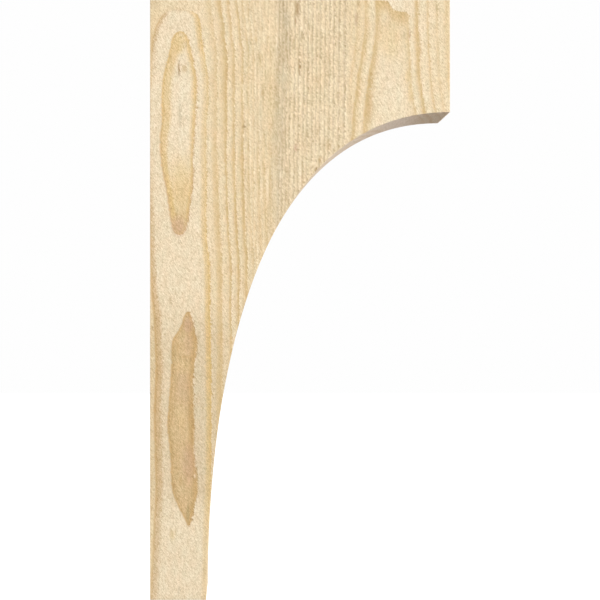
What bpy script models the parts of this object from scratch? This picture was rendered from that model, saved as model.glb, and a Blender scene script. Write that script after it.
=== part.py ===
"""A flat-sided timber corbel bracket, sawn out of one piece of rough softwood.

A long leg lies against the wall and a short arm reaches out at the top, joined by one hollow sweep.
Metres, +Z up. X runs out from the wall and Y across the thickness. The origin is the middle of the
face that lies against the wall.
"""

import math

import bmesh
import bpy
from mathutils import Vector
from mathutils.geometry import interpolate_bezier

# Overall sizes: 32 by 16 inches, out of timber 3.5 inches thick
HEIGHT = 0.8128
PROJECTION = 0.4064
THICKNESS = 0.0889

# The square end of the arm is 6 inches deep, and the foot of the leg reaches 3 inches from the wall
ARM_END_DEPTH = 0.1524
FOOT_DEPTH = 0.0762

# The sweep leaves the arm level and comes down to the foot almost upright. Each fullness is the length
# of the curve's handle at that end: at the arm as a share of the sweep's width, at the foot of its height.
ARM_FULLNESS = 0.843
FOOT_FULLNESS = 0.389
FOOT_LEAN = math.radians(0.33)
SWEEP_SEGMENTS = 72

# Bare softwood, straight off the saw
WOOD_COLOUR = (0.76, 0.61, 0.39, 1.0)
WOOD_ROUGHNESS = 0.85


def clear_scene():
    for thing in list(bpy.data.objects):
        bpy.data.objects.remove(thing, do_unlink=True)


def wood_material():
    material = bpy.data.materials.new("rough_sawn_fir")
    material.use_nodes = True
    shader = material.node_tree.nodes["Principled BSDF"]
    shader.inputs["Base Color"].default_value = WOOD_COLOUR
    shader.inputs["Roughness"].default_value = WOOD_ROUGHNESS
    shader.inputs["Metallic"].default_value = 0.0
    return material


def sweep_points(side_y, top, foot):
    """The hollow front edge, from the lower corner of the arm's end down to the front of the foot."""
    arm_tip = Vector((PROJECTION, side_y, top - ARM_END_DEPTH))
    foot_front = Vector((FOOT_DEPTH, side_y, foot))
    arm_handle = ARM_FULLNESS * (arm_tip.x - foot_front.x)
    foot_handle = FOOT_FULLNESS * (arm_tip.z - foot_front.z)
    return interpolate_bezier(
        arm_tip,
        arm_tip - Vector((arm_handle, 0.0, 0.0)),
        foot_front + foot_handle * Vector((math.sin(FOOT_LEAN), 0.0, math.cos(FOOT_LEAN))),
        foot_front,
        SWEEP_SEGMENTS + 1,
    )


def side_outline(side_y):
    """The outline of one flat side, from the foot at the wall up, out along the top and back down the sweep."""
    top = HEIGHT / 2
    foot = -HEIGHT / 2
    corners = [
        Vector((0.0, side_y, foot)),
        Vector((0.0, side_y, top)),
        Vector((PROJECTION, side_y, top)),
    ]
    return corners + sweep_points(side_y, top, foot)


def corbel_bracket():
    """One flat side as a face, drawn out across the thickness of the timber."""
    mesh = bpy.data.meshes.new("corbel_bracket")
    shape = bmesh.new()
    side = shape.faces.new([shape.verts.new(point) for point in side_outline(-THICKNESS / 2)])
    drawn = bmesh.ops.extrude_face_region(shape, geom=[side])
    far_side = [item for item in drawn["geom"] if isinstance(item, bmesh.types.BMVert)]
    bmesh.ops.translate(shape, verts=far_side, vec=(0.0, THICKNESS, 0.0))
    bmesh.ops.recalc_face_normals(shape, faces=shape.faces)
    shape.to_mesh(mesh)
    shape.free()
    bracket = bpy.data.objects.new("corbel_bracket", mesh)
    bpy.context.scene.collection.objects.link(bracket)
    return bracket


def main():
    clear_scene()
    bracket = corbel_bracket()
    bracket.data.materials.append(wood_material())


main()
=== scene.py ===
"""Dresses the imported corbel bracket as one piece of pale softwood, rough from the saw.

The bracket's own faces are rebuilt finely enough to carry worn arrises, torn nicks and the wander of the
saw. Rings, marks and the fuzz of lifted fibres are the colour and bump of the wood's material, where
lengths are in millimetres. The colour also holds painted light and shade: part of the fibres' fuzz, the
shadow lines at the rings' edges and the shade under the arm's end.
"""

import math

import bpy
from bpy.props import FloatProperty, FloatVectorProperty, PointerProperty
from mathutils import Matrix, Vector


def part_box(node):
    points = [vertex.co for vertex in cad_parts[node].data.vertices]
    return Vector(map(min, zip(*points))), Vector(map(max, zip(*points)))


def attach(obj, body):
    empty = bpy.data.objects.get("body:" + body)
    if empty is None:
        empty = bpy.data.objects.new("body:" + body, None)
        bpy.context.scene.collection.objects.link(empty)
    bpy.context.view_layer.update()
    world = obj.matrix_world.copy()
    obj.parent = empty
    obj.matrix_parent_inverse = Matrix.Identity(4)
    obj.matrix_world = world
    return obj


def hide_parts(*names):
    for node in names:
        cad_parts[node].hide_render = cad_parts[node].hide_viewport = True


bl_info = {
    "name": "Wooden corbel bracket",
    "version": (1, 0, 0),
    "blender": (4, 5, 0),
    "location": "View3D > Sidebar > Bracket",
    "description": "Builds a rough-sawn timber corbel bracket with its wood figure, fibres and studio",
    "category": "Object",
}

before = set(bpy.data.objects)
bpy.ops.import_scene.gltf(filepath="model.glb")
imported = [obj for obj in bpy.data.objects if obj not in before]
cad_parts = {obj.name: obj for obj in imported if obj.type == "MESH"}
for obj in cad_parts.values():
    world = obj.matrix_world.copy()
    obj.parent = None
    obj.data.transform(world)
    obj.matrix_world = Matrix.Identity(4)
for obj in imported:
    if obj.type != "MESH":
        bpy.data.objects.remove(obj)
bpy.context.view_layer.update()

NODE = "corbel_bracket"
SLOT = "rough_sawn_fir"
LOW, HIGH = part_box(NODE)
FRONT_FACE_MM = LOW[1] * 1000
TOP_MM = HIGH[2] * 1000


# Sizes and colours that may be changed


def number(name, description, default, **settings):
    return FloatProperty(name=name, description=description, default=default, **settings)


def length(name, description, default, low=0.0, high=1.0):
    return number(name, description, default, min=low, max=high, subtype="DISTANCE", unit="LENGTH")


def share(name, description, default):
    return number(name, description, default, min=0.0, max=1.0, subtype="FACTOR")


def linear(channel):
    """One channel of a screen colour from 0 to 255 as the light that it stands for."""
    value = channel / 255
    return value / 12.92 if value <= 0.04045 else ((value + 0.055) / 1.055) ** 2.4


def wood_colour(name, description, red, green, blue):
    colour = (linear(red), linear(green), linear(blue), 1.0)
    settings = {"size": 4, "min": 0.0, "max": 1.0, "subtype": "COLOR"}
    return FloatVectorProperty(name=name, description=description, default=colour, **settings)


class BracketShape(bpy.types.PropertyGroup):
    """The bracket's outline and how far its faces are worn"""

    arm_end_depth: length("Arm end depth", "Height of the square end of the arm", 0.1524)
    foot_depth: length("Foot depth", "Reach of the foot from the wall", 0.0762)
    arm_fullness: share("Arm fullness", "Sweep's handle at the arm, as a share of its width", 0.843)
    foot_fullness: share("Foot fullness", "Sweep's handle at the foot, as a share of its height", 0.389)
    foot_lean: number("Foot lean", "Lean of the sweep where it ends", math.radians(0.33), subtype="ANGLE")
    arris_wear: length("Arris wear", "How far the corners are rubbed back", 0.0008)
    torn_depth: length("Torn depth", "Depth of the nicks torn along the corners", 0.0012)
    saw_wander: length("Saw wander", "Depth of the slow hollows that the saw left", 0.00028)


class WoodFinish(bpy.types.PropertyGroup):
    """Colours and surface of the wood"""

    cream: wood_colour("Cream", "Palest early wood", 243, 225, 194)
    straw: wood_colour("Straw", "Yellow early wood", 234, 205, 152)
    honey: wood_colour("Honey", "Late wood rings", 223, 185, 112)
    tan: wood_colour("Tan", "Brown middle of a ring that the saw just grazed", 218, 189, 143)
    amber: wood_colour("Amber", "Orange resin-rich wood", 203, 166, 112)
    dun: wood_colour("Dun", "Early wood that is a little browned", 214, 194, 160)
    # Partly painted shade: this pinkish grey is end grain's own colour and also the skylit tint of the
    # shadow under the arm's end
    end_grain_and_shade: wood_colour("End grain", "Wood cut across its fibres", 214, 193, 180)
    rose: wood_colour("Rose", "Pinkish wood", 207, 170, 138)
    grey: wood_colour("Grey", "Bluish bruise", 202, 183, 150)
    olive: wood_colour("Olive", "Greenish dark fleck", 190, 165, 118)
    umber: wood_colour("Umber", "Dark streak", 168, 134, 88)
    roughness: share("Roughness", "Roughness of the sawn face", 0.86)
    # The fuzz in the colour is partly painted highlight and shadow of the lifted fibres
    fuzz: share("Fuzz", "Strength of the mottle of lifted fibres", 0.27)


class StudioSettings(bpy.types.PropertyGroup):
    """Camera, lamps and floor"""

    distance: length("Distance", "From the camera to the front face", 1.457, 0.1, 10.0)
    camera_out: length("Camera out", "Place of the camera along the arm", 0.1165, -1.0, 1.0)
    camera_up: length("Camera height", "Height above the middle of the wall face", -0.0095, -1.0, 1.0)
    lens: number("Lens", "Focal length in millimetres", 64.6, min=10.0, max=300.0)
    shift_out: number("Shift out", "Sideways shift of the lens", 0.1067)
    shift_up: number("Shift up", "Upward shift of the lens", 0.0117)
    key_power: number("Key power", "Power of the large soft lamp", 27.0, unit="POWER")
    fill_power: number("Fill power", "Power of the lamp at the side", 34.0, unit="POWER")
    floor_drop: length("Floor drop", "From the foot down to the floor", 0.45, 0.0, 3.0)


# Wiring of node trees


class Wiring:
    """Adds nodes to one tree and joins them. An input takes a plain value or another node's output."""

    def __init__(self, tree):
        self.tree = tree

    def put(self, socket, value):
        if isinstance(value, bpy.types.NodeSocket):
            self.tree.links.new(value, socket)
        else:
            socket.default_value = value

    def fill(self, sockets, values):
        for socket, value in zip(sockets, values):
            self.put(socket, value)

    def add(self, kind, inputs=None, **settings):
        node = self.tree.nodes.new(kind)
        for name, value in settings.items():
            setattr(node, name, value)
        for key, value in (inputs or {}).items():
            self.put(node.inputs[key], value)
        return node

    def math(self, operation, *values, clamp=False):
        node = self.add("ShaderNodeMath", operation=operation, use_clamp=clamp)
        self.fill(node.inputs, values)
        return node.outputs[0]

    def plus(self, first, second, clamp=False):
        return self.math("ADD", first, second, clamp=clamp)

    def minus(self, first, second):
        return self.math("SUBTRACT", first, second)

    def times(self, first, second, clamp=False):
        return self.math("MULTIPLY", first, second, clamp=clamp)

    def times_plus(self, value, factor, extra, clamp=False):
        """value times factor, and extra on top."""
        return self.math("MULTIPLY_ADD", value, factor, extra, clamp=clamp)

    def vector(self, operation, *values):
        node = self.add("ShaderNodeVectorMath", operation=operation)
        self.fill(node.inputs, values)
        return node.outputs["Value" if operation in ("LENGTH", "DOT_PRODUCT") else "Vector"]

    def scaled(self, vector, factor):
        inputs = {"Vector": vector, "Scale": factor}
        return self.add("ShaderNodeVectorMath", inputs, operation="SCALE").outputs["Vector"]

    def parts(self, vector):
        return self.add("ShaderNodeSeparateXYZ", {"Vector": vector}).outputs

    def xyz(self, x, y, z):
        return self.add("ShaderNodeCombineXYZ", {"X": x, "Y": y, "Z": z}).outputs[0]

    def ramp(self, value, low, high, start=0.0, end=1.0, steps="SMOOTHSTEP"):
        """value from low to high as start to end, held at both ends."""
        node = self.add("ShaderNodeMapRange", interpolation_type=steps)
        self.fill(node.inputs, (value, low, high, start, end))
        return node.outputs[0]

    def curve(self, value, points, low, high):
        """A smooth curve through (place, amount) points, with amounts between low and high."""
        first = points[0][0]
        last = points[-1][0]
        node = self.add("ShaderNodeFloatCurve", {"Value": self.ramp(value, first, last, steps="LINEAR")})
        line = node.mapping.curves[0]
        for index, (place, amount) in enumerate(points):
            spot = ((place - first) / (last - first), (amount - low) / (high - low))
            if index in (0, len(points) - 1):
                line.points[0 if index == 0 else -1].location = spot
            else:
                line.points.new(*spot)
        node.mapping.update()
        return self.times_plus(node.outputs[0], high - low, low)

    def profile(self, value, low, high, stops):
        """A grey ramp of (place, amount) stops, such as the rings across a face."""
        node = self.add("ShaderNodeValToRGB", {"Fac": self.ramp(value, low, high, steps="LINEAR")})
        marks = node.color_ramp.elements
        while len(marks) < len(stops):
            marks.new(0.5)
        for mark, (place, amount) in zip(marks, sorted(stops)):
            mark.position = (place - low) / (high - low)
            mark.color = (amount, amount, amount, 1.0)
        return self.times(node.outputs["Color"], 1.0)

    def noise(self, place, scale, detail=2.0, roughness=0.5):
        """Smooth noise around 0, about -0.5 to 0.5. scale is in lumps per unit of place."""
        inputs = {"Vector": place, "Scale": scale, "Detail": detail, "Roughness": roughness}
        return self.minus(self.add("ShaderNodeTexNoise", inputs).outputs[0], 0.5)

    def drawn_noise(self, place, scales, detail=2.0, roughness=0.6):
        """Noise with its own scale along each axis, so that its lumps are drawn out."""
        return self.noise(self.vector("MULTIPLY", place, scales), 1.0, detail, roughness)

    def blend(self, amount, first, second):
        """The colour first, with amount of second over it."""
        node = self.add("ShaderNodeMix", data_type="RGBA")
        self.fill((node.inputs[0], node.inputs[6], node.inputs[7]), (amount, first, second))
        return node.outputs[2]

    def line(self, value, place, half_width, soft):
        """1 on a line at place, falling to 0 over soft at both of its sides."""
        away = self.math("ABSOLUTE", self.minus(value, place))
        return self.ramp(away, half_width, half_width + soft, 1.0, 0.0)


def new_tree(name, kind, inputs, outputs):
    """A node group with its sockets, and its input and output nodes."""
    tree = bpy.data.node_groups.new(name, kind)
    for in_out, sockets in (("INPUT", inputs), ("OUTPUT", outputs)):
        for label, socket_type in sockets:
            tree.interface.new_socket(label, in_out=in_out, socket_type=socket_type)
    wires = Wiring(tree)
    given = wires.add("NodeGroupInput").outputs
    result = wires.add("NodeGroupOutput").inputs
    return tree, wires, given, result


# Figure of the wood, in millimetres

# Places across the front face (from the wall) and up it (from the middle) of each ring's darkest line
OUTER_RING_RIGHT = (
    (-406.4, 75.9), (-388.8, 76.7), (-331.9, 78.4), (-280.4, 80.2), (-253.3, 81.6), (-151.7, 82.5),
    (-67.7, 82.0), (-13.5, 80.9), (51.5, 79.8), (85.3, 76.3), (153.1, 76.1), (216.7, 75.7), (243.8, 76.3),
    (270.9, 78.3), (295.3, 78.3), (314.3, 76.1), (330.5, 74.0), (346.8, 70.8), (363.1, 69.1), (380.0, 66.2),
    (388.0, 61.0), (391.5, 54.9), (393.3, 46.0), (394.0, 35.2),
)
OUTER_RING_RIGHT_STRENGTH = (
    (-406.4, 0.34), (-350.0, 0.42), (-280.0, 0.6), (-150.0, 0.8), (-20.0, 0.85), (60.0, 0.75), (140.0, 0.6),
    (270.0, 0.5), (320.0, 0.62), (363.0, 0.74), (390.0, 0.5), (395.0, 0.0), (406.4, 0.0),
)
OUTER_RING_LEFT = (
    (-406.4, 1.4), (-359.0, 3.9), (-304.8, 6.2), (-253.3, 8.4), (-203.2, 7.7), (-151.7, 6.6), (-94.8, 8.3),
    (-67.7, 7.9), (-13.5, 5.0), (17.6, 2.9), (85.3, 1.0), (270.9, 1.0), (346.8, 3.4), (363.1, 6.5),
    (376.0, 11.5), (385.0, 17.0), (390.0, 22.3), (392.8, 31.5), (394.0, 42.6),
)
OUTER_RING_LEFT_STRENGTH = (
    (-406.4, 0.6), (-340.0, 0.7), (-100.0, 0.95), (0.0, 0.88), (45.0, 0.8), (100.0, 0.7), (150.0, 0.42),
    (200.0, 0.14), (280.0, 0.04), (320.0, 0.36), (352.0, 0.7), (380.0, 0.74), (390.0, 0.5), (395.0, 0.0),
    (406.4, 0.0),
)
ISLAND_AXIS = (
    (-406.4, 39.3), (-303.4, 52.2), (-280.4, 49.4), (-256.0, 47.4), (-230.3, 45.5), (-189.7, 42.4),
    (-149.0, 42.1), (-128.7, 42.6), (-108.0, 43.2), (-88.0, 44.8), (-67.7, 46.3), (-57.6, 46.8),
    (-47.4, 48.1), (-37.3, 50.1), (-17.2, 51.6), (27.1, 44.7), (81.3, 39.6), (119.2, 40.1), (149.0, 39.6),
    (186.9, 37.2), (216.7, 36.8), (243.8, 39.1), (281.8, 39.8), (314.3, 40.6), (346.8, 41.5), (360.3, 41.0),
    (406.4, 40.6),
)
UPPER_ISLAND_HALF = (
    (87.8, 0.0), (89.2, 4.0), (92.0, 7.4), (97.0, 9.6), (106.0, 11.6), (119.2, 13.7), (135.5, 15.8),
    (155.8, 18.8), (176.1, 21.2), (196.4, 22.4), (216.7, 23.4), (243.8, 23.2), (270.9, 23.8), (295.3, 23.2),
    (311.0, 20.9), (325.1, 17.9), (336.0, 15.2), (345.4, 12.8), (353.0, 10.8), (358.8, 8.2), (362.0, 5.2),
    (363.6, 2.4), (364.2, 0.0),
)
LOWER_ISLAND_HALF = (
    (-310.2, 0.0), (-303.4, 1.9), (-292.6, 6.2), (-280.4, 10.3), (-268.2, 14.6), (-256.0, 16.8),
    (-235.7, 16.8), (-219.5, 16.0), (-195.1, 16.5), (-169.0, 17.8), (-149.0, 17.1), (-128.7, 16.0),
    (-108.0, 15.0), (-88.0, 15.4), (-75.9, 16.3), (-62.0, 16.7), (-54.0, 15.7), (-47.4, 13.2), (-37.3, 9.1),
    (-30.0, 6.9), (-21.7, 4.6), (-17.2, 2.5), (-15.0, 0.0),
)
RING_DRIFT = (
    (-406.4, 2.7), (-135.5, 6.2), (-67.7, 6.8), (-13.5, 6.2), (51.5, 5.8), (85.3, 3.5), (119.2, 2.2),
    (153.1, 1.1), (216.7, -0.3), (243.8, 0.0), (295.3, -0.3), (330.5, 0.0), (346.8, -2.0), (363.1, -3.7),
    (378.0, -5.4), (390.1, -7.2), (406.4, -8.4),
)
ARCH_SPREAD_INWARD = (
    (203.2, 19.0), (250.6, 15.6), (264.2, 14.4), (277.7, 12.3), (291.3, 10.4), (304.8, 9.3), (318.3, 6.8),
    (331.9, 4.3), (345.4, 2.6), (359.0, 0.8), (372.5, 0.0), (406.4, 0.0),
)
ARCH_SPREAD_OUTWARD = (
    (203.2, 19.0), (240.0, 13.0), (257.4, 9.6), (268.2, 7.6), (277.7, 6.0), (291.3, 4.4), (303.4, 3.0),
    (325.1, 2.0), (349.5, 0.8), (372.5, 0.0), (406.4, 0.0),
)

# Rings to the right of the islands, high up and lower down. Each darkens slowly and then ends sharply.
LEG_RINGS_HIGH = (
    (78.0, 0.06), (82.0, 0.14), (85.0, 0.3), (88.6, 0.5), (90.6, 0.4), (91.8, 0.1), (95.0, 0.24),
    (98.0, 0.4), (101.0, 0.62), (103.6, 0.8), (104.8, 0.4), (105.8, 0.04), (108.6, 0.04), (111.0, 0.3),
    (114.2, 0.68), (115.4, 0.36), (116.4, 0.04), (121.5, 0.16), (124.0, 0.44), (125.8, 0.66), (127.2, 0.1),
    (130.5, 0.18), (134.4, 0.54), (135.8, 0.08), (140.8, 0.48), (142.2, 0.08), (147.0, 0.34), (149.3, 0.1),
    (154.5, 0.34), (156.8, 0.14), (163.0, 0.3), (166.5, 0.16),
)
LEG_RINGS_LOW = (
    (82.5, 0.1), (84.5, 0.42), (88.0, 0.6), (90.4, 0.64), (92.0, 0.4), (93.6, 0.1), (97.0, 0.14),
    (100.5, 0.34), (102.8, 0.84), (104.0, 0.45), (105.0, 0.04), (109.0, 0.1), (112.0, 0.5), (114.2, 0.9),
    (115.4, 0.45), (116.4, 0.04), (120.5, 0.24), (123.2, 0.6), (125.4, 0.8), (126.8, 0.36), (127.8, 0.04),
    (134.0, 0.5), (135.8, 0.06), (138.6, 0.5), (140.6, 0.08), (146.6, 0.5), (148.8, 0.08), (154.8, 0.5),
    (157.4, 0.1), (162.6, 0.42), (165.0, 0.1),
)
# How many tight rings have been passed at each place across the face
TIGHT_RING_COUNT = (
    (169.0, -5.0), (181.0, -3.0), (190.5, -1.0), (197.0, 0.0), (202.5, 1.0), (208.9, 2.0), (214.4, 3.0),
    (220.8, 4.0), (226.2, 5.0), (231.6, 6.0), (237.8, 7.0), (243.8, 8.0), (249.8, 9.0), (256.7, 10.0),
    (264.2, 11.0), (273.6, 12.0), (281.5, 13.0),
)
# Rings of the arch at the end of the arm, from its middle towards the wall and towards the end
ARCH_RINGS_INWARD = (
    (0.0, 0.02), (9.0, 0.06), (12.5, 0.24), (15.0, 0.5), (18.4, 0.7), (20.4, 0.7), (22.0, 0.3),
    (24.0, 0.04), (27.0, 0.06), (29.5, 0.24), (32.5, 0.56), (35.2, 0.7), (37.0, 0.26), (39.5, 0.08),
    (42.0, 0.24), (45.5, 0.5), (47.2, 0.24), (49.5, 0.08), (53.0, 0.34), (55.5, 0.1), (60.0, 0.1),
    (62.3, 0.34), (64.5, 0.12), (67.5, 0.1), (69.9, 0.32), (72.0, 0.12), (75.0, 0.1),
)
ARCH_RINGS_OUTWARD = (
    (0.0, 0.02), (12.0, 0.08), (17.0, 0.16), (20.0, 0.34), (23.0, 0.62), (24.6, 0.24), (26.0, 0.0),
    (28.0, 0.0), (30.0, 0.2), (32.5, 0.54), (35.4, 0.76), (36.8, 0.5), (38.4, 0.12), (41.0, 0.02),
    (45.5, 0.06), (48.0, 0.26), (50.0, 0.66), (51.6, 0.16), (55.0, 0.06), (59.0, 0.14), (62.2, 0.44),
    (64.4, 0.12), (69.0, 0.08), (72.5, 0.28), (74.6, 0.48), (77.5, 0.32), (80.5, 0.14),
)

# The upper edge of the arch's head, at each place out from the wall
ARCH_HEAD = (
    (300.0, 404.0), (314.0, 406.0), (321.5, 404.5), (325.5, 398.5), (331.0, 392.5), (338.0, 390.2),
    (346.0, 389.2), (351.0, 386.0), (360.0, 380.0),
)

# Where the greyish band runs, at each height
GREY_BAND = (
    (-406.4, 170.0), (190.0, 175.2), (230.0, 178.0), (257.0, 179.2), (284.0, 178.8), (311.0, 180.8),
    (338.7, 182.0), (368.0, 184.2), (390.0, 181.0), (406.4, 180.0),
)

# How yellow the ground colour is at each place across the face
YELLOWNESS = (
    (0.0, 0.5), (20.0, 0.3), (80.0, 0.2), (120.0, 0.2), (150.0, 0.16), (172.0, 0.34), (196.0, 0.3),
    (216.0, 0.28), (262.0, 0.26), (292.0, 0.2), (306.0, 0.08), (342.0, 0.1), (372.0, 0.12), (392.0, 0.14),
    (408.0, 0.25),
)
# How dark each island's rim is, from its edge inwards
RIM_DEPTH = 16.0
UPPER_RIM_LEFT = ((0.0, 0.8), (2.0, 0.72), (4.0, 0.58), (10.0, 0.5), (15.5, 0.0))
UPPER_RIM_RIGHT = ((0.0, 0.6), (2.5, 0.7), (5.5, 0.42), (9.5, 0.0))
LOWER_RIM_LEFT = ((0.0, 0.9), (2.0, 0.7), (3.5, 0.3), (8.0, 0.15), (12.0, 0.0))
LOWER_RIM_RIGHT = ((0.0, 0.8), (2.0, 0.85), (6.0, 0.5), (10.0, 0.0))

# Marks on the front face by colour: out from the wall, up, half width, half height and strength
MARKS = {
    "straw": (
        (44.7, -91.0, 10.0, 10.0, 0.45), (42.0, -150.0, 7.0, 26.0, 0.35), (30.5, -318.0, 4.0, 9.0, 0.5),
        (43.0, 160.0, 12.0, 34.0, 0.45), (325.0, 352.0, 16.0, 30.0, 0.45), (41.0, 351.0, 7.5, 8.0, 0.85),
        (39.3, 343.1, 8.0, 12.5, 0.85), (142.9, 352.9, 2.7, 5.4, 0.4), (149.7, 323.8, 1.8, 15.6, 0.45),
        (348.8, 302.8, 4.0, 9.2, 0.5), (352.2, 279.7, 3.4, 14.2, 0.5),
    ),
    "tan": (
        (46.9, 312.9, 4.6, 6.1, 0.6), (326.0, 378.0, 18.0, 14.0, 0.2),
    ),
    "cream": (
        (298.0, 285.2, 2.8, 1.1, 0.8), (62.3, -81.3, 1.4, 4.1, 0.6), (61.0, -238.4, 1.4, 4.1, 0.6),
    ),
    "grey": (
        (6.0, 401.0, 9.0, 10.0, 0.32), (184.9, 379.3, 6.1, 12.9, 0.4), (188.3, 345.4, 3.0, 12.9, 0.35),
        (40.6, 250.6, 2.6, 21.7, 0.45), (39.3, 79.2, 1.6, 5.1, 0.5), (39.3, -392.9, 1.9, 7.5, 0.45),
        (209.3, 274.3, 3.0, 8.1, 0.35), (37.9, 366.0, 4.0, 4.0, 0.2),
    ),
    "rose": (
        (38.4, 99.5, 11.0, 14.5, 0.56), (351.0, 358.0, 1.3, 9.0, 0.5), (52.0, -34.0, 7.5, 13.0, 0.62),
        (52.5, -222.0, 10.0, 30.0, 0.5), (45.0, -120.0, 12.0, 34.0, 0.3), (197.1, 378.0, 1.9, 5.4, 0.5),
        (197.4, 205.9, 2.2, 6.1, 0.7), (52.8, -59.6, 7.0, 17.0, 0.3), (279.1, 380.0, 2.4, 10.8, 0.55),
        (62.0, 262.0, 2.5, 10.0, 0.2),
    ),
    "amber": (
        (47.0, -77.2, 10.0, 1.6, 0.45), (38.0, -65.0, 1.6, 8.0, 0.5), (55.0, -164.0, 3.0, 26.0, 0.5),
        (30.8, -148.0, 1.5, 11.0, 0.45), (41.7, -244.0, 2.0, 9.0, 0.55), (30.0, -200.0, 1.6, 16.0, 0.35),
        (230.3, 189.7, 3.1, 4.7, 0.45), (241.8, 208.6, 4.7, 8.8, 0.35), (134.1, 207.3, 2.2, 7.5, 0.45),
        (299.0, 305.5, 2.6, 3.5, 0.7), (298.0, 295.3, 3.4, 7.0, 0.35), (296.4, 270.9, 3.8, 14.2, 0.3),
        (152.4, 280.4, 2.3, 5.7, 0.35), (104.0, 312.0, 1.6, 30.0, 0.35), (366.0, 342.0, 2.0, 18.0, 0.3),
        (2.6, 352.0, 1.6, 20.0, 0.35), (127.5, 240.0, 1.6, 12.0, 0.35), (38.0, 393.0, 16.0, 5.0, 0.16),
        (39.5, 347.0, 8.0, 9.0, 0.12), (44.0, 140.0, 10.0, 20.0, 0.12), (297.5, 262.0, 6.0, 30.0, 0.35),
    ),
    "olive": (
        (194.4, 344.8, 1.9, 9.5, 0.5), (27.8, -2.0, 2.7, 8.8, 0.35), (29.1, -315.0, 2.7, 6.8, 0.25),
        (134.1, 345.4, 1.8, 12.2, 0.3), (344.1, 357.6, 5.7, 5.7, 0.25), (388.1, 396.2, 1.9, 6.8, 0.5),
        (51.5, -289.9, 3.0, 12.9, 0.55),
    ),
    "umber": (
        (180.2, 398.9, 1.2, 8.8, 0.55), (199.9, 394.2, 2.2, 12.9, 0.8), (185.5, 359.7, 1.4, 4.6, 0.5),
        (173.5, 341.1, 1.2, 4.6, 0.5), (205.6, 358.6, 1.5, 7.5, 0.55), (202.4, 314.3, 1.5, 14.9, 0.7),
        (214.3, 309.5, 1.3, 8.8, 0.45), (224.5, 176.1, 2.2, 3.3, 0.7), (2.7, -37.9, 1.4, 4.1, 0.5),
        (2.7, -281.8, 1.4, 4.1, 0.5), (127.1, 234.4, 3.0, 2.2, 0.6), (281.4, 401.0, 1.3, 6.1, 0.45),
        (48.8, -81.3, 0.9, 4.7, 0.45), (54.2, -82.6, 0.9, 4.1, 0.4), (50.1, -237.1, 0.9, 4.7, 0.45),
        (55.5, -238.4, 0.9, 4.1, 0.4), (39.4, 312.9, 1.7, 11.4, 0.8),
    ),
}

# The wood's heart lies this far behind the front face, level with the islands
HEART_DEPTH = 145.0
INNER_RING_PITCH = 5.6
# The front face wanders by less than this
FACE_DEPTH = 1.5
# Where the zones of rings begin and end across the front face
LEG_RING_SPAN = (76.0, 172.0)
LEG_RINGS_END = (168.0, 176.0)
TIGHT_RINGS_START = (168.0, 178.0)
TIGHT_RING_LEAN = 0.011
ARCH_START = (266.0, 274.0)
ARCH_MIDDLE = 326.5
ARCH_SPAN_INWARD = 78.0
ARCH_SPAN_OUTWARD = 82.0
# The cut fibres lean this far from the grain
FUZZ_SLANT = math.radians(32)
# A shaded place turns warmer: how fast its red, green and blue fall
SHADE_POWERS = (0.92, 1.12, 1.6)
PATCH_TINTS = (0.07, -0.05, -0.09)


def grain_mark_group():
    """A soft oval mark on the front face."""
    inputs = [(name, "NodeSocketVector") for name in ("Place", "Middle", "Half size")]
    inputs.append(("Strength", "NodeSocketFloat"))
    outputs = (("Mask", "NodeSocketFloat"),)
    tree, wires, given, result = new_tree("Grain mark", "ShaderNodeTree", inputs, outputs)
    offset = wires.vector("SUBTRACT", given["Place"], given["Middle"])
    away = wires.vector("LENGTH", wires.vector("DIVIDE", offset, given["Half size"]))
    wires.put(result["Mask"], wires.ramp(away, 1.3, 0.35, 0.0, given["Strength"]))
    return tree


def marks_mask(wires, group, place, marks):
    """The strongest of some grain marks at each place."""
    strongest = 0.0
    for out, up, half_width, half_height, strength in marks:
        size = (half_width, 1.0, half_height)
        inputs = {"Place": place, "Middle": (out, 0.0, up), "Half size": size, "Strength": strength}
        mark = wires.add("ShaderNodeGroup", inputs, node_tree=group)
        strongest = wires.math("MAXIMUM", mark.outputs["Mask"], strongest)
    return strongest


def fuzz_layers(wires, place, end_share):
    """Two heights, each from about -1 to 1: the fuzz of cut fibres, and fine streaks along the grain."""
    turned = {"Vector": place, "Angle": FUZZ_SLANT}
    slant = wires.add("ShaderNodeVectorRotate", turned, rotation_type="Y_AXIS").outputs[0]
    strokes = wires.drawn_noise(slant, (0.74, 0.4, 0.22))
    curls = wires.math("ABSOLUTE", wires.drawn_noise(slant, (0.34, 0.3, 0.16), roughness=0.7))
    curls = wires.ramp(curls, 0.0, 0.07, -0.55, 0.12)
    crumbs = wires.noise(place, 0.66, 2.0, 0.7)
    tufts = wires.plus(wires.times(strokes, 2.3), wires.times(crumbs, 1.5))
    tufts = wires.plus(tufts, curls)
    cut = wires.drawn_noise(place, (0.5, 0.07, 0.5))
    ends = wires.plus(wires.times(cut, 1.8), wires.times(crumbs, 1.4))
    fuzz = wires.plus(tufts, wires.times(wires.minus(ends, tufts), end_share))
    streaks = wires.drawn_noise(place, (0.46, 0.46, 0.035))
    streaks = wires.times(streaks, wires.minus(1.0, end_share))
    return fuzz, wires.times(streaks, 2.0)


def ring_line(wires, inside, sharp, width):
    """A band with a dark, sharp outer edge that fades inwards over the given width."""
    outer_side = wires.ramp(inside, -sharp, 0.3)
    inner_side = wires.ramp(inside, 0.4, 0.3 * width, 0.95, 0.68)
    edges = wires.times(outer_side, inner_side)
    return wires.times(edges, wires.ramp(inside, 0.4 * width, width, 1.0, 0.0))


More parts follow.
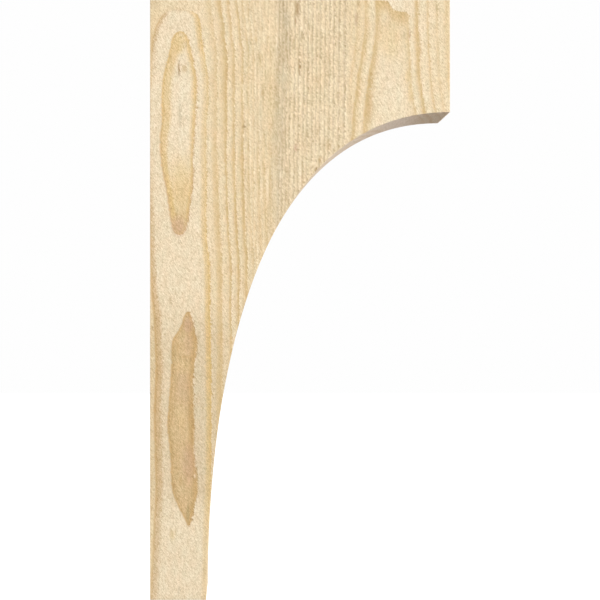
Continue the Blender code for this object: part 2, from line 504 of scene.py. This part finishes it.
def wood_material(colours):
    """Rings followed in from the front face, with marks, fuzz and bump."""
    material = bpy.data.materials.new(SLOT)
    material.use_nodes = True
    wires = Wiring(material.node_tree)
    shader = material.node_tree.nodes["Principled BSDF"]
    mark_group = grain_mark_group()

    # Place in millimetres, depth behind the front face, and how squarely the surface cuts the grain
    place = wires.scaled(wires.add("ShaderNodeTexCoord").outputs["Object"], 1000.0)
    out, across, up = wires.parts(place)
    depth = wires.math("MAXIMUM", wires.minus(across, FRONT_FACE_MM + FACE_DEPTH), 0.0)
    facing = wires.parts(wires.add("ShaderNodeNewGeometry").outputs["Normal"])
    cross_cut = wires.math("ABSOLUTE", facing["Z"])
    fuzz, streaks = fuzz_layers(wires, place, wires.ramp(cross_cut, 0.35, 0.75))

    # Each place is followed along its ring to where that ring meets the front face
    axis = wires.curve(up, ISLAND_AXIS, 30.0, 60.0)
    from_axis = wires.minus(out, axis)
    bend = wires.times(depth, wires.minus(2 * HEART_DEPTH, depth))
    squared = wires.minus(wires.times(from_axis, from_axis), bend)
    reach = wires.math("SQRT", wires.math("MAXIMUM", squared, 0.0))
    buried = wires.math("MAXIMUM", wires.times(squared, -1.0), 0.0)
    cut_open = wires.ramp(buried, 20.0, 300.0, 1.0, 0.0)
    swell = wires.drawn_noise(place, (0.012, 0.012, 0.008), 1.0, 0.5)
    wave = wires.drawn_noise(place, (0.05, 0.02, 0.028), 1.0, 0.5)
    ragged = wires.times_plus(streaks, 0.8, wires.times(fuzz, 1.9))
    beads = wires.drawn_noise(place, (0.16, 0.05, 0.16))
    wobble = wires.times_plus(beads, 2.0, wires.times_plus(wave, 1.8, ragged))
    on_face = wires.times_plus(reach, wires.math("SIGN", from_axis), axis)
    on_face = wires.plus(on_face, wobble)
    mark_place = wires.xyz(wires.plus(out, ragged), 0.0, wires.plus(up, ragged))
    front_only = wires.ramp(depth, 2.0, 8.0, 1.0, 0.0)

    # Zones: the leg's wide rings, the tight straight grain, and the arch at the arm's end
    arch_zone = wires.ramp(on_face, *ARCH_START)
    tight_zone = wires.ramp(on_face, *TIGHT_RINGS_START)
    tight_zone = wires.times(tight_zone, wires.ramp(on_face, *ARCH_START, 1.0, 0.0))
    ring_place = wires.minus(on_face, wires.curve(up, RING_DRIFT, -10.0, 10.0))
    high_rings = wires.profile(ring_place, *LEG_RING_SPAN, LEG_RINGS_HIGH)
    low_rings = wires.profile(ring_place, *LEG_RING_SPAN, LEG_RINGS_LOW)
    lower_down = wires.ramp(up, 262.0, 170.0)
    leg_rings = wires.times_plus(wires.minus(low_rings, high_rings), lower_down, high_rings)
    leg_rings = wires.times(leg_rings, wires.ramp(on_face, *LEG_RINGS_END, 1.0, 0.0))
    tight_place = wires.plus(on_face, TOP_MM * TIGHT_RING_LEAN)
    tight_place = wires.times_plus(up, -TIGHT_RING_LEAN, tight_place)
    tight_place = wires.times_plus(swell, 2.0, tight_place)
    passed = wires.curve(tight_place, TIGHT_RING_COUNT, -6.0, 14.0)
    tight_wave = wires.math("COSINE", wires.times(passed, math.tau))
    tight_rings = wires.ramp(wires.times_plus(beads, 3.2, tight_wave), -0.4, 1.7, 0.0, 0.46)
    arch_offset = wires.minus(on_face, ARCH_MIDDLE)
    arch_side = wires.ramp(arch_offset, -0.5, 0.5)
    inward = wires.minus(wires.times(arch_offset, -1.0), wires.curve(up, ARCH_SPREAD_INWARD, 0.0, 20.0))
    outward = wires.minus(arch_offset, wires.curve(up, ARCH_SPREAD_OUTWARD, 0.0, 20.0))
    inward_rings = wires.profile(inward, 0.0, ARCH_SPAN_INWARD, ARCH_RINGS_INWARD)
    inward_rings = wires.times(inward_rings, wires.ramp(up, 338.0, 372.0, 1.0, 0.85))
    inward_rings = wires.times(inward_rings, wires.minus(1.0, arch_side))
    outward_rings = wires.profile(outward, 0.0, ARCH_SPAN_OUTWARD, ARCH_RINGS_OUTWARD)
    arch_rings = wires.plus(inward_rings, wires.times(outward_rings, arch_side))
    rings = wires.plus(leg_rings, wires.times(arch_rings, arch_zone), clamp=True)
    rings = wires.times(rings, wires.times_plus(beads, 0.8, 1.0), clamp=True)

    # The ring round both islands, and the rings that never reach the front face
    right_inside = wires.minus(wires.curve(up, OUTER_RING_RIGHT, 30.0, 90.0), on_face)
    left_inside = wires.minus(on_face, wires.curve(up, OUTER_RING_LEFT, 0.0, 50.0))
    right_line = ring_line(wires, right_inside, 2.2, 9.5)
    right_line = wires.times(right_line, wires.curve(up, OUTER_RING_RIGHT_STRENGTH, 0.0, 1.0))
    left_fade = wires.times(left_inside, wires.ramp(up, -30.0, 60.0, 1.0, 1.5))
    left_line = ring_line(wires, left_fade, 2.6, 12.0)
    left_line = wires.times(left_line, wires.curve(up, OUTER_RING_LEFT_STRENGTH, 0.0, 1.0))
    right_line = wires.times(right_line, cut_open)
    left_line = wires.times(left_line, cut_open)
    inside_ring = wires.times(wires.ramp(right_inside, -1.0, 1.5), wires.ramp(left_inside, -1.0, 1.5))
    radius = wires.math("SQRT", wires.minus(HEART_DEPTH**2, buried))
    inner = wires.times_plus(swell, 14.0, wires.minus(HEART_DEPTH, radius))
    inner = wires.times_plus(ragged, 0.4, wires.times_plus(wave, 1.2, inner))
    inner_wave = wires.math("FRACT", wires.math("DIVIDE", inner, INNER_RING_PITCH))
    inner_rings = wires.ramp(inner_wave, 0.35, 0.9, 0.0, 0.6)
    inner_rings = wires.times(inner_rings, wires.ramp(inner_wave, 0.92, 1.0, 1.0, 0.0))
    inner_rings = wires.times(inner_rings, wires.ramp(buried, 150.0, 700.0))

    # Ground colour, then the rings over it
    broad = wires.drawn_noise(place, (0.03, 0.03, 0.012))
    yellow = wires.profile(on_face, 0.0, 410.0, YELLOWNESS)
    yellow = wires.times_plus(broad, 0.5, yellow, clamp=True)
    colour = wires.blend(yellow, colours.cream, colours.straw)
    weathered = wires.times(wires.ramp(up, -300.0, -250.0), wires.ramp(up, -60.0, 10.0, 1.0, 0.0))
    weathered = wires.times(weathered, wires.ramp(out, 118.0, 92.0))
    pale = wires.times(inside_ring, wires.ramp(right_inside, 0.0, 6.0, 0.45, 1.0))
    colour = wires.blend(pale, colour, colours.cream)
    weathered = wires.times(weathered, wires.ramp(out, 30.0, 60.0, 0.4, 0.62))
    colour = wires.blend(weathered, colour, colours.dun)
    colour = wires.blend(wires.times(tight_rings, tight_zone), colour, colours.umber)
    colour = wires.blend(rings, colour, wires.blend(0.5, colours.honey, colours.tan))
    # The darkest parts of the rings turn umber: partly the late wood's own colour, partly painted shadow of
    # the fibres torn at each ring's edge
    colour = wires.blend(wires.ramp(rings, 0.42, 0.9, 0.0, 0.18), colour, colours.umber)
    colour = wires.blend(wires.math("MAXIMUM", right_line, inner_rings), colour, colours.honey)
    colour = wires.blend(left_line, colour, colours.amber)
    band_offset = wires.minus(on_face, wires.curve(up, GREY_BAND, 160.0, 200.0))
    band = wires.times(wires.line(band_offset, 0.0, 0.8, 3.2), 0.5)
    wide_band = wires.line(band_offset, -2.5, 3.5, 11.0)
    wide_band = wires.times(wide_band, wires.ramp(up, 130.0, 260.0, 0.2, 0.42))
    colour = wires.blend(wires.math("MAXIMUM", band, wide_band), colour, colours.grey)

    # The upper island: honey rim, pale core above, yellow below and a pink tip
    island_offset = wires.minus(on_face, axis)
    island_away = wires.math("ABSOLUTE", island_offset)
    upper_half = wires.curve(up, UPPER_ISLAND_HALF, 0.0, 30.0)
    upper_depth = wires.minus(upper_half, island_away)
    upper = wires.times(wires.ramp(upper_depth, -1.6, 1.2), wires.ramp(upper_half, 0.2, 1.2))
    rim_depth = wires.times(upper_depth, wires.ramp(up, 150.0, 250.0, 1.7, 1.0))
    left_rim = wires.profile(rim_depth, 0.0, RIM_DEPTH, UPPER_RIM_LEFT)
    right_rim = wires.profile(rim_depth, 0.0, RIM_DEPTH, UPPER_RIM_RIGHT)
    right_side = wires.ramp(island_offset, -3.0, 3.0)
    rim = wires.times_plus(wires.minus(right_rim, left_rim), right_side, left_rim)
    island_ground = wires.blend(wires.ramp(up, 140.0, 225.0, 0.75, 0.0), colours.cream, colours.straw)
    island_ground = wires.blend(wires.ramp(up, 108.0, 134.0, 0.8, 0.0), island_ground, colours.tan)
    rim = wires.times(rim, wires.ramp(up, 104.0, 124.0, 0.45, 1.0))
    island_ground = wires.blend(rim, island_ground, colours.honey)
    rosy_edge = wires.times(wires.line(upper_depth, 0.6, 0.6, 1.8), wires.ramp(up, 150.0, 290.0, 0.5, 0.1))
    island_ground = wires.blend(rosy_edge, island_ground, colours.rose)
    colour = wires.blend(wires.times(upper, cut_open), colour, island_ground)

    # The lower island: tan all over, darker towards its edge
    lower_half = wires.curve(up, LOWER_ISLAND_HALF, 0.0, 30.0)
    lower_depth = wires.minus(lower_half, island_away)
    lower = wires.times(wires.ramp(lower_depth, -2.2, 1.2), wires.ramp(lower_half, 0.2, 2.0))
    left_rim = wires.profile(lower_depth, 0.0, RIM_DEPTH, LOWER_RIM_LEFT)
    right_rim = wires.profile(lower_depth, 0.0, RIM_DEPTH, LOWER_RIM_RIGHT)
    lower_rim = wires.times_plus(wires.minus(right_rim, left_rim), right_side, left_rim)
    lower_ground = wires.blend(lower_rim, colours.tan, colours.amber)
    colour = wires.blend(wires.times(lower, cut_open), colour, lower_ground)

    # The head of the arch: pale above its edge, tan below
    head_depth = wires.minus(wires.curve(out, ARCH_HEAD, 370.0, 430.0), wires.plus(up, ragged))
    above_head = wires.times(wires.ramp(head_depth, 0.8, -0.8), wires.ramp(out, 319.0, 323.0))
    above_head = wires.times(above_head, wires.ramp(out, 354.0, 360.0, 0.8, 0.0))
    colour = wires.blend(wires.times(above_head, front_only), colour, colours.cream)
    below_head = wires.ramp(head_depth, -0.8, 0.8)
    below_head = wires.times(below_head, wires.ramp(head_depth, 5.0, 28.0, 0.82, 0.0))
    below_head = wires.times(below_head, wires.ramp(out, 303.0, 308.0))
    below_head = wires.times(below_head, wires.ramp(out, 343.0, 352.0, 1.0, 0.0))
    head_tan = wires.blend(0.3, colours.tan, colours.honey)
    colour = wires.blend(wires.times(below_head, front_only), colour, head_tan)

    # Marks given one by one
    for name, marks in MARKS.items():
        mask = wires.times(marks_mask(wires, mark_group, mark_place, marks), front_only)
        colour = wires.blend(mask, colour, getattr(colours, name))

    # Patches a little pinker or greener, then fuzz and streaks in light and dark. The fuzz is partly the
    # fibres' own tone, partly painted highlight and shadow of the lifted fibres; the streaks are the
    # grain's tone.
    patch = wires.drawn_noise(place, (0.085, 0.085, 0.045), roughness=0.5)
    tint = wires.xyz(*(wires.times_plus(patch, amount, 1.0) for amount in PATCH_TINTS))
    fuzzy = wires.ramp(rings, 0.0, 0.8, colours.fuzz, colours.fuzz * 0.6)
    straight_zone = wires.ramp(on_face, 96.0, 130.0)
    straight_zone = wires.times(straight_zone, wires.ramp(on_face, 262.0, 284.0, 1.0, 0.0))
    hairlines = wires.noise(wires.xyz(wires.times(on_face, 0.27), 0.0, wires.times(up, 0.009)), 1.0, 1.0)
    hairlines = wires.minus(wires.math("ABSOLUTE", hairlines), 0.09)
    hairlines = wires.times(hairlines, wires.times(straight_zone, 0.6))
    streaky = wires.times_plus(wires.times(lower, cut_open), 0.1, 0.06)
    streaky = wires.times_plus(straight_zone, 0.14, streaky)
    shade = wires.times_plus(fuzz, fuzzy, wires.times_plus(streaks, streaky, 1.0))
    shade = wires.plus(shade, hairlines)
    shade = wires.times(shade, wires.ramp(cross_cut, 0.25, 0.95, 1.0, 1.05))
    # Partly painted shade: faces cut squarely across the grain are darker, as end grain is, and also where
    # the underside of the arm's end gets little light
    shade = wires.times(shade, wires.ramp(cross_cut, 0.975, 1.0, 1.0, 0.86))
    # Part end grain's own greyer colour, part painted shade: its mauve grey stands for the skylit shadow
    # under the arm
    colour = wires.blend(wires.ramp(cross_cut, 0.3, 1.0, 0.0, 0.6), colour, colours.end_grain_and_shade)
    ring_ends = wires.math("MAXIMUM", rings, inner_rings)
    ring_ends = wires.math("MAXIMUM", wires.times(tight_rings, tight_zone), ring_ends)
    ring_ends = wires.times(ring_ends, wires.ramp(cross_cut, 0.9, 1.0))
    ring_ends = wires.times(ring_ends, wires.ramp(facing["Z"], -1.0, 1.0, 0.15, 0.8))
    colour = wires.blend(ring_ends, colour, colours.amber)
    shades = wires.xyz(*(wires.math("POWER", shade, power) for power in SHADE_POWERS))
    colour = wires.vector("MULTIPLY", wires.vector("MULTIPLY", colour, tint), shades)
    wires.put(shader.inputs["Base Color"], colour)
    wires.put(shader.inputs["Roughness"], wires.times_plus(fuzz, 0.1, colours.roughness, clamp=True))
    shader.inputs["Specular IOR Level"].default_value = 0.25
    height = wires.plus(fuzz, wires.times(rings, 0.35))
    bump = wires.add("ShaderNodeBump", {"Height": height, "Strength": 0.5, "Distance": 0.0004})
    wires.put(shader.inputs["Normal"], bump.outputs[0])
    return material


# The bracket's own faces

# Inputs of the node tree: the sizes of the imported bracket, and the settings of the same names
SIZE_INPUTS = ("Projection", "Thickness", "Height")
SHAPE_INPUTS = (
    "Arm end depth", "Foot depth", "Arm fullness", "Foot fullness", "Foot lean",
    "Arris wear", "Torn depth", "Saw wander",
)
# Points of the block out from the wall, across and up
GRID = (76, 26, 372)
# The share of the rows that end on the sweep, and the height at the wall of the row that ends at its tip
SWEEP_SHARE = 0.70
ROW_TURN_UP = 0.33
SWEEP_RESOLUTION = 512
# How far the squares are drawn together at the arrises, and the rows at the ends of each stretch
ARRIS_CROWDING = 0.76
ROW_CROWDING = 0.4
# Metres from an arris within which it is worn or torn
WEAR_REACH = 0.0011
TORN_REACH = 0.0026
# Nicks along the lower edge of the front face: out from the wall, half width and depth in millimetres
NICKS = ((396.2, 2.2, 1.7), (354.5, 2.6, 1.5), (341.6, 1.8, 1.1), (225.0, 3.0, 1.6), (268.0, 1.8, 0.8))


def crowd(wires, value, amount):
    """value from 0 to 1, with its steps drawn together near both ends."""
    turn = wires.math("SINE", wires.times(value, math.tau))
    return wires.times_plus(turn, -amount / math.tau, value)


def bracket_tree():
    """The bracket as a block of small squares, drawn into shape and then worn."""
    inputs = [(name, "NodeSocketFloat") for name in SIZE_INPUTS + SHAPE_INPUTS]
    inputs.append(("Wood", "NodeSocketMaterial"))
    outputs = (("Geometry", "NodeSocketGeometry"),)
    tree, wires, given, result = new_tree("Sawn bracket", "GeometryNodeTree", inputs, outputs)
    projection = given["Projection"]
    foot_depth = given["Foot depth"]
    half_height = wires.times(given["Height"], 0.5)
    tip_up = wires.minus(half_height, given["Arm end depth"])
    foot_up = wires.times(half_height, -1.0)

    # The sweep, from the arm's lower corner down to the foot
    arm_handle = wires.times(given["Arm fullness"], wires.minus(projection, foot_depth))
    foot_handle = wires.times(given["Foot fullness"], wires.minus(tip_up, foot_up))
    lean_out = wires.times(foot_handle, wires.math("SINE", given["Foot lean"]))
    lean_up = wires.times(foot_handle, wires.math("COSINE", given["Foot lean"]))
    sweep = wires.add(
        "GeometryNodeCurvePrimitiveBezierSegment",
        {
            "Resolution": SWEEP_RESOLUTION,
            "Start": wires.xyz(projection, 0.0, tip_up),
            "Start Handle": wires.xyz(wires.minus(projection, arm_handle), 0.0, tip_up),
            "End Handle": wires.xyz(wires.plus(foot_depth, lean_out), 0.0, wires.plus(foot_up, lean_up)),
            "End": wires.xyz(foot_depth, 0.0, foot_up),
        },
        mode="POSITION",
    )

    # A block of squares, whose rows run from the wall to the front edge
    block = wires.add(
        "GeometryNodeMeshCube",
        {"Vertices X": GRID[0], "Vertices Y": GRID[1], "Vertices Z": GRID[2]},
    )
    spot = wires.parts(wires.add("GeometryNodeInputPosition").outputs[0])
    outward = crowd(wires, wires.plus(spot["X"], 0.5), ARRIS_CROWDING)
    sideways = crowd(wires, wires.plus(spot["Y"], 0.5), ARRIS_CROWDING)
    upward = wires.plus(spot["Z"], 0.5)
    on_sweep = crowd(wires, wires.ramp(upward, 0.0, SWEEP_SHARE, steps="LINEAR"), ROW_CROWDING)
    on_arm = crowd(wires, wires.ramp(upward, SWEEP_SHARE, 1.0, steps="LINEAR"), ROW_CROWDING)
    sampled = wires.add(
        "GeometryNodeSampleCurve",
        {"Curves": sweep.outputs[0], "Factor": wires.minus(1.0, on_sweep)},
        mode="FACTOR",
    )
    arm_rise = wires.times(on_arm, given["Arm end depth"])
    front = wires.vector("ADD", sampled.outputs["Position"], wires.xyz(0.0, 0.0, arm_rise))
    wall_up = wires.times_plus(on_sweep, wires.minus(ROW_TURN_UP, foot_up), foot_up)
    wall_up = wires.plus(wall_up, wires.times(on_arm, wires.minus(half_height, ROW_TURN_UP)))
    wall = wires.xyz(0.0, 0.0, wall_up)
    row = wires.vector("SUBTRACT", front, wall)
    along_row = wires.vector("ADD", wall, wires.scaled(row, outward))
    side = wires.times(wires.minus(sideways, 0.5), given["Thickness"])
    target = wires.vector("ADD", along_row, wires.xyz(0.0, side, 0.0))

    # Distance from the three pairs of faces, kept while the block is drawn into shape
    def from_ends(value, size):
        return wires.times(wires.math("MINIMUM", value, wires.minus(1.0, value)), size)

    from_edges = from_ends(outward, wires.vector("LENGTH", row))
    from_sides = from_ends(sideways, given["Thickness"])
    from_caps = from_ends(upward, given["Height"])
    near_two = wires.math("MINIMUM", from_edges, from_sides)
    far_two = wires.math("MAXIMUM", from_edges, from_sides)
    to_arris = wires.math("MAXIMUM", near_two, wires.math("MINIMUM", far_two, from_caps))
    front_arris = wires.times(wires.ramp(outward, 0.985, 1.0), wires.ramp(side, -0.036, -0.044))
    kept = wires.add("GeometryNodeCaptureAttribute", {"Geometry": block.outputs["Mesh"]}, domain="POINT")
    for label, field in (("Target", target), ("To arris", to_arris), ("Front arris", front_arris)):
        kept.capture_items.new("VECTOR" if label == "Target" else "FLOAT", label)
        wires.put(kept.inputs[label], field)
    target_kept = {"Geometry": kept.outputs["Geometry"], "Position": kept.outputs["Target"]}
    shaped = wires.add("GeometryNodeSetPosition", target_kept)

    # Wear, nicks and the saw's wander all take wood away
    place = wires.scaled(kept.outputs["Target"], 1000.0)
    arris_away = kept.outputs["To arris"]
    wear = wires.times_plus(wires.noise(place, 0.06), 1.4, 0.9)
    wear = wires.times(wear, given["Arris wear"])
    wear = wires.times(wear, wires.ramp(arris_away, 0.0, WEAR_REACH, 0.5, 0.0))
    torn = wires.ramp(wires.noise(place, 0.16), 0.12, 0.24)
    torn = wires.times(torn, wires.ramp(arris_away, 0.0, TORN_REACH, 1.0, 0.0))
    torn = wires.times(torn, given["Torn depth"])
    out_mm = wires.parts(place)["X"]
    nicks = 0.0
    for nick_out, half_width, nick_depth in NICKS:
        shape = wires.line(out_mm, nick_out, 0.0, half_width)
        nicks = wires.math("MAXIMUM", wires.times(shape, nick_depth / 1000), nicks)
    nicks = wires.times(nicks, kept.outputs["Front arris"])
    wander = wires.plus(wires.noise(place, 0.018, 3.0), 0.5, clamp=True)
    wander = wires.times(wander, given["Saw wander"])
    taken = wires.plus(wires.plus(wear, torn), wires.plus(nicks, wander))
    normal = wires.add("GeometryNodeInputNormal").outputs[0]
    offset = wires.scaled(normal, wires.times(taken, -1.0))
    carved = wires.add("GeometryNodeSetPosition", {"Geometry": shaped.outputs[0], "Offset": offset})
    smooth = wires.add("GeometryNodeSetShadeSmooth", {"Geometry": carved.outputs[0]})
    realised = wires.add("GeometryNodeRealizeInstances", {"Geometry": smooth.outputs[0]})
    dressed = {"Geometry": realised.outputs[0], "Material": given["Wood"]}
    finished = wires.add("GeometryNodeSetMaterial", dressed)
    wires.put(result["Geometry"], finished.outputs[0])
    return tree


def grown(name, tree, values):
    """A plain mesh object from a node tree, with its inputs set by their sockets' identifiers."""
    seed = bpy.data.objects.new(name + "_seed", bpy.data.meshes.new(name + "_seed"))
    bpy.context.scene.collection.objects.link(seed)
    modifier = seed.modifiers.new("Build", "NODES")
    modifier.node_group = tree
    sockets = [item for item in tree.interface.items_tree if item.in_out == "INPUT"]
    identifiers = {item.name: item.identifier for item in sockets}
    for label, value in values.items():
        modifier[identifiers[label]] = value
    bpy.context.view_layer.update()
    evaluated = seed.evaluated_get(bpy.context.evaluated_depsgraph_get())
    mesh = bpy.data.meshes.new_from_object(evaluated)
    seed.modifiers.remove(modifier)
    bpy.data.objects.remove(seed, do_unlink=True)
    if not mesh.polygons:
        raise RuntimeError(name + " came out empty")
    mesh.name = name
    # The block brings an empty slot that no face uses
    if mesh.materials[0] is None:
        mesh.materials.pop(index=0)
    piece = bpy.data.objects.new(name, mesh)
    bpy.context.scene.collection.objects.link(piece)
    return piece


class BRACKET_OT_sawn_bracket(bpy.types.Operator):
    """Builds the bracket's own faces, with worn and torn arrises, and dresses them as rough-sawn wood"""

    bl_idname = "bracket.sawn_bracket"
    bl_label = "Sawn bracket"

    def execute(self, context):
        shape = context.scene.bracket_shape
        values = {name: high - low for name, low, high in zip(SIZE_INPUTS, LOW, HIGH)}
        for name in SHAPE_INPUTS:
            values[name] = getattr(shape, name.lower().replace(" ", "_"))
        values["Wood"] = wood_material(context.scene.bracket_wood)
        piece = grown("sawn_bracket", bracket_tree(), values)
        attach(piece, "root")
        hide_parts(NODE)
        return {"FINISHED"}


# Floor, light and camera

FLOOR_HALF_WIDTH = 9.0
FLOOR_COLOUR = (0.93, 0.93, 0.92)
FLOOR_GLOW = 0.45
WHITE = (1.0, 1.0, 1.0, 1.0)
BACKDROP_LEVEL = 0.991
SKY_BELOW = 0.30
SKY_ABOVE = 0.80
LIT_MIDDLE = (0.15, 0.0, 0.05)
KEY_PLACE = (-0.4, -2.4, 0.4)
KEY_WIDTH = 2.2
FILL_PLACE = (2.4, -0.5, 0.1)
FILL_WIDTH = 1.2


def flat_finish(name, colour, roughness):
    """A plain matt surface that glows a little."""
    material = bpy.data.materials.new(name)
    material.use_nodes = True
    wires = Wiring(material.node_tree)
    shader = material.node_tree.nodes["Principled BSDF"]
    place = wires.add("ShaderNodeTexCoord").outputs["Object"]
    tone = wires.times_plus(wires.noise(place, 2.0), 0.01, 1.0)
    wires.put(shader.inputs["Base Color"], wires.vector("MULTIPLY", colour, wires.xyz(tone, tone, tone)))
    shader.inputs["Roughness"].default_value = roughness
    shader.inputs["Specular IOR Level"].default_value = 0.0
    shader.inputs["Emission Color"].default_value = WHITE
    shader.inputs["Emission Strength"].default_value = FLOOR_GLOW
    return material


def soft_world():
    """Plain white behind the bracket, and a soft grey sky round it that is darker below."""
    world = bpy.data.worlds.new("Soft studio")
    world.use_nodes = True
    wires = Wiring(world.node_tree)
    background = world.node_tree.nodes["Background"]
    direction = wires.parts(wires.add("ShaderNodeTexCoord").outputs["Generated"])
    sky = wires.ramp(direction["Z"], -0.7, 0.7, SKY_BELOW, SKY_ABOVE)
    seen = wires.add("ShaderNodeLightPath").outputs["Is Camera Ray"]
    level = wires.times_plus(seen, wires.minus(BACKDROP_LEVEL, sky), sky)
    wires.put(background.inputs["Strength"], level)
    background.inputs["Color"].default_value = WHITE
    return world


def soft_lamp(name, place, width, power):
    """A square soft lamp that faces the middle of the bracket."""
    lamp = bpy.data.lights.new(name, "AREA")
    lamp.shape = "SQUARE"
    lamp.size = width
    lamp.energy = power
    holder = bpy.data.objects.new(name, lamp)
    holder.location = place
    towards = [goal - start for goal, start in zip(LIT_MIDDLE, place)]
    rise = math.atan2(towards[2], math.hypot(towards[0], towards[1]))
    turn = math.atan2(towards[1], towards[0])
    holder.rotation_euler = (math.pi / 2 + rise, 0.0, turn - math.pi / 2)
    bpy.context.scene.collection.objects.link(holder)


class BRACKET_OT_studio(bpy.types.Operator):
    """Lays a plain pale floor and sets soft studio light and the camera"""

    bl_idname = "bracket.studio"
    bl_label = "Studio"

    def execute(self, context):
        scene = context.scene
        studio = scene.bracket_studio
        mesh = bpy.data.meshes.new("studio_floor")
        level = LOW[2] - studio.floor_drop
        corners = ((-1, -1), (1, -1), (1, 1), (-1, 1))
        corners = [(x * FLOOR_HALF_WIDTH, y * FLOOR_HALF_WIDTH, level) for x, y in corners]
        mesh.from_pydata(corners, [], [(0, 1, 2, 3)])
        mesh.materials.append(flat_finish("Pale floor", FLOOR_COLOUR, 0.9))
        floor = bpy.data.objects.new("studio_floor", mesh)
        scene.collection.objects.link(floor)
        floor.visible_diffuse = False

        scene.world = soft_world()
        scene.view_settings.view_transform = "Standard"
        soft_lamp("Key", KEY_PLACE, KEY_WIDTH, studio.key_power)
        soft_lamp("Side fill", FILL_PLACE, FILL_WIDTH, studio.fill_power)

        lens = bpy.data.cameras.new("Camera")
        lens.sensor_width = 36.0
        lens.lens = studio.lens
        lens.shift_x = studio.shift_out
        lens.shift_y = studio.shift_up
        lens.dof.use_dof = False
        camera = bpy.data.objects.new("Camera", lens)
        camera.location = (studio.camera_out, LOW[1] - studio.distance, studio.camera_up)
        camera.rotation_euler = (math.pi / 2, 0.0, 0.0)
        scene.collection.objects.link(camera)
        scene.camera = camera
        return {"FINISHED"}


class BRACKET_PT_panel(bpy.types.Panel):
    """The settings, and a button for each thing that they build"""

    bl_label = "Corbel bracket"
    bl_idname = "BRACKET_PT_panel"
    bl_space_type = "VIEW_3D"
    bl_region_type = "UI"
    bl_category = "Bracket"

    def draw(self, context):
        for operator, groups in BUTTONS:
            box = self.layout.box()
            box.operator(operator.bl_idname)
            for group in groups:
                settings = getattr(context.scene, group)
                for name in settings.bl_rna.properties.keys():
                    if name not in ("rna_type", "name"):
                        box.prop(settings, name)


# The panel's buttons, each with the groups of settings that it uses
BUTTONS = (
    (BRACKET_OT_studio, ("bracket_studio",)),
    (BRACKET_OT_sawn_bracket, ("bracket_shape", "bracket_wood")),
)
SETTINGS = (
    ("bracket_shape", BracketShape),
    ("bracket_wood", WoodFinish),
    ("bracket_studio", StudioSettings),
)
CLASSES = (
    BracketShape, WoodFinish, StudioSettings,
    BRACKET_OT_studio, BRACKET_OT_sawn_bracket, BRACKET_PT_panel,
)


def register():
    for item in CLASSES:
        bpy.utils.register_class(item)
    for name, group in SETTINGS:
        setattr(bpy.types.Scene, name, PointerProperty(type=group))


def unregister():
    for name, group in SETTINGS:
        delattr(bpy.types.Scene, name)
    for item in reversed(CLASSES):
        bpy.utils.unregister_class(item)


def main():
    register()
    bpy.ops.bracket.studio()
    bpy.ops.bracket.sawn_bracket()


if __name__ == "__main__":
    main()
